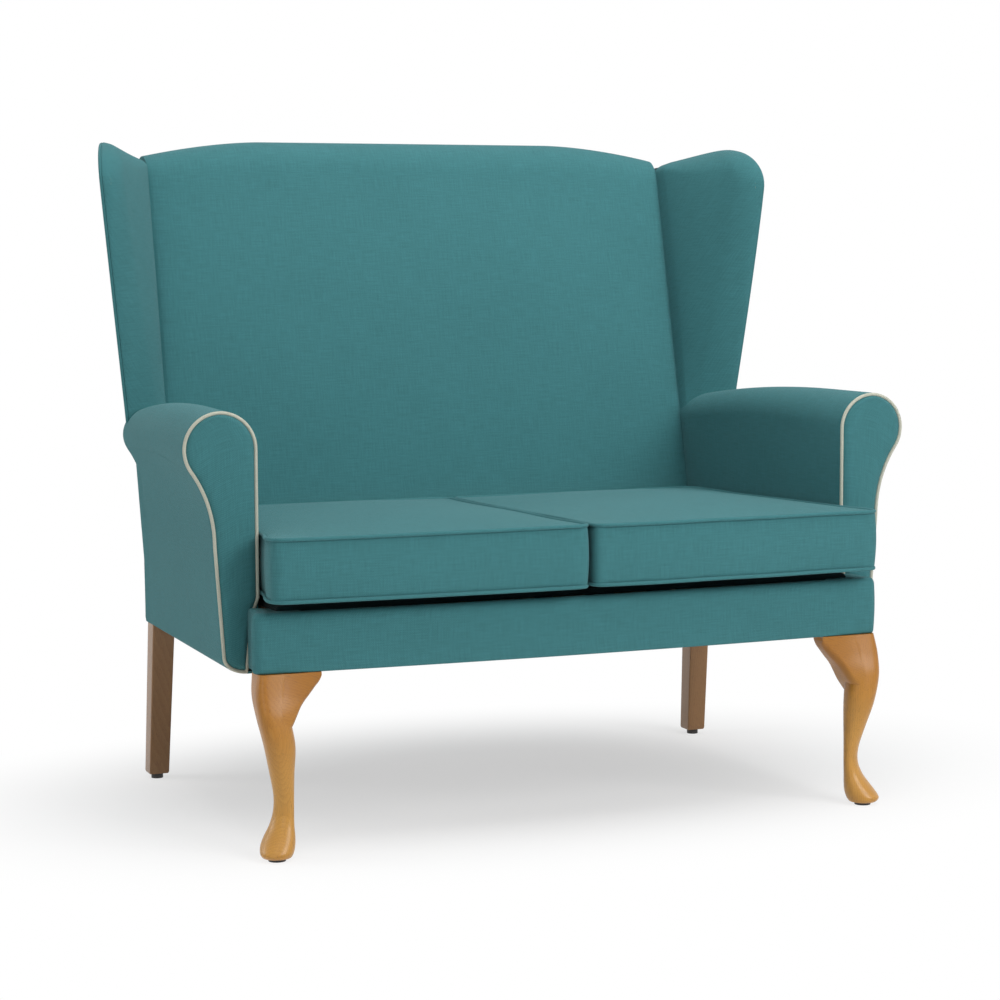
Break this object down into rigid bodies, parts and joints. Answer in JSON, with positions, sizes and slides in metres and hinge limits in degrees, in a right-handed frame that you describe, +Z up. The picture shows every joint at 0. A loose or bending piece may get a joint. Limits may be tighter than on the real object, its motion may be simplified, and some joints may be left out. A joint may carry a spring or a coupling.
{
  "type": "high back settee",
  "caption": "High back settee with flared wings, scroll arms, loose boxed seat cushions, cabriole front legs and splayed back legs.",
  "frame": {"origin": "on the floor, in the middle of the settee's width and depth", "axes": "+X to the right of someone who stands in front and looks at it, +Y towards its back, +Z up"},
  "size_m": [1.2144, 0.8752, 1.08],
  "materials": {
    "fabric": "plain woven upholstery cloth",
    "piping": "contrast piping",
    "beech": "clear satin lacquer",
    "frame_timber": "bare planed timber",
    "board": "bare sheet board",
    "webbing": "woven webbing",
    "lining": "black lining cloth",
    "foam": "upholstery foam",
    "steel": "zinc plated",
    "glide": "moulded"
  },
  "bodies": {
    "settee": {"front_leg_left": "beech", "front_leg_right": "beech", "knee_block_left": "beech", "knee_block_right": "beech", "rear_leg_left": "beech", "rear_leg_right": "beech", "front_glides": "glide", "rear_glides": "glide", "front_rail": "frame_timber", "rear_rail": "frame_timber", "side_rail_left": "frame_timber", "side_rail_right": "frame_timber", "centre_rail": "frame_timber", "corner_blocks": "frame_timber", "top_rail": "frame_timber", "lower_back_rail": "frame_timber", "back_upright": "frame_timber", "arm_stump_left": "frame_timber", "arm_stump_right": "frame_timber", "arm_rail_left": "frame_timber", "arm_rail_right": "frame_timber", "arm_panel_left": "board", "arm_panel_right": "board", "facing_board_left": "board", "facing_board_right": "board", "wing_board_left": "board", "wing_board_right": "board", "dowels": "frame_timber", "frame_bolts": "steel", "seat_webbing": "webbing", "cross_webbing": "webbing", "seat_platform": "lining", "bottom_cloth": "lining", "back_webbing": "webbing", "front_border": "fabric", "inside_back": "fabric", "outside_back": "fabric", "inside_wing_left": "fabric", "inside_wing_right": "fabric", "outside_wing_left": "fabric", "outside_wing_right": "fabric", "wing_piping_left": "fabric", "wing_piping_right": "fabric", "inside_arm_left": "fabric", "inside_arm_right": "fabric", "outside_arm_left": "fabric", "outside_arm_right": "fabric", "arm_facing_left": "fabric", "arm_facing_right": "fabric", "facing_piping_left": "piping", "facing_piping_right": "piping"},
    "cushion_left": {"seat_cushion_left": "fabric", "cushion_foam_left": "foam", "cushion_zip_left": "lining"},
    "cushion_right": {"seat_cushion_right": "fabric", "cushion_foam_right": "foam", "cushion_zip_right": "lining"}
  },
  "joints": [
    {"name": "left_cushion_lift", "type": "slide", "parent": "settee", "child": "cushion_left", "axis": [0, 0, 1], "range_m": [0, 0.3]},
    {"name": "right_cushion_lift", "type": "slide", "parent": "settee", "child": "cushion_right", "axis": [0, 0, 1], "range_m": [0, 0.3]}
  ]
}
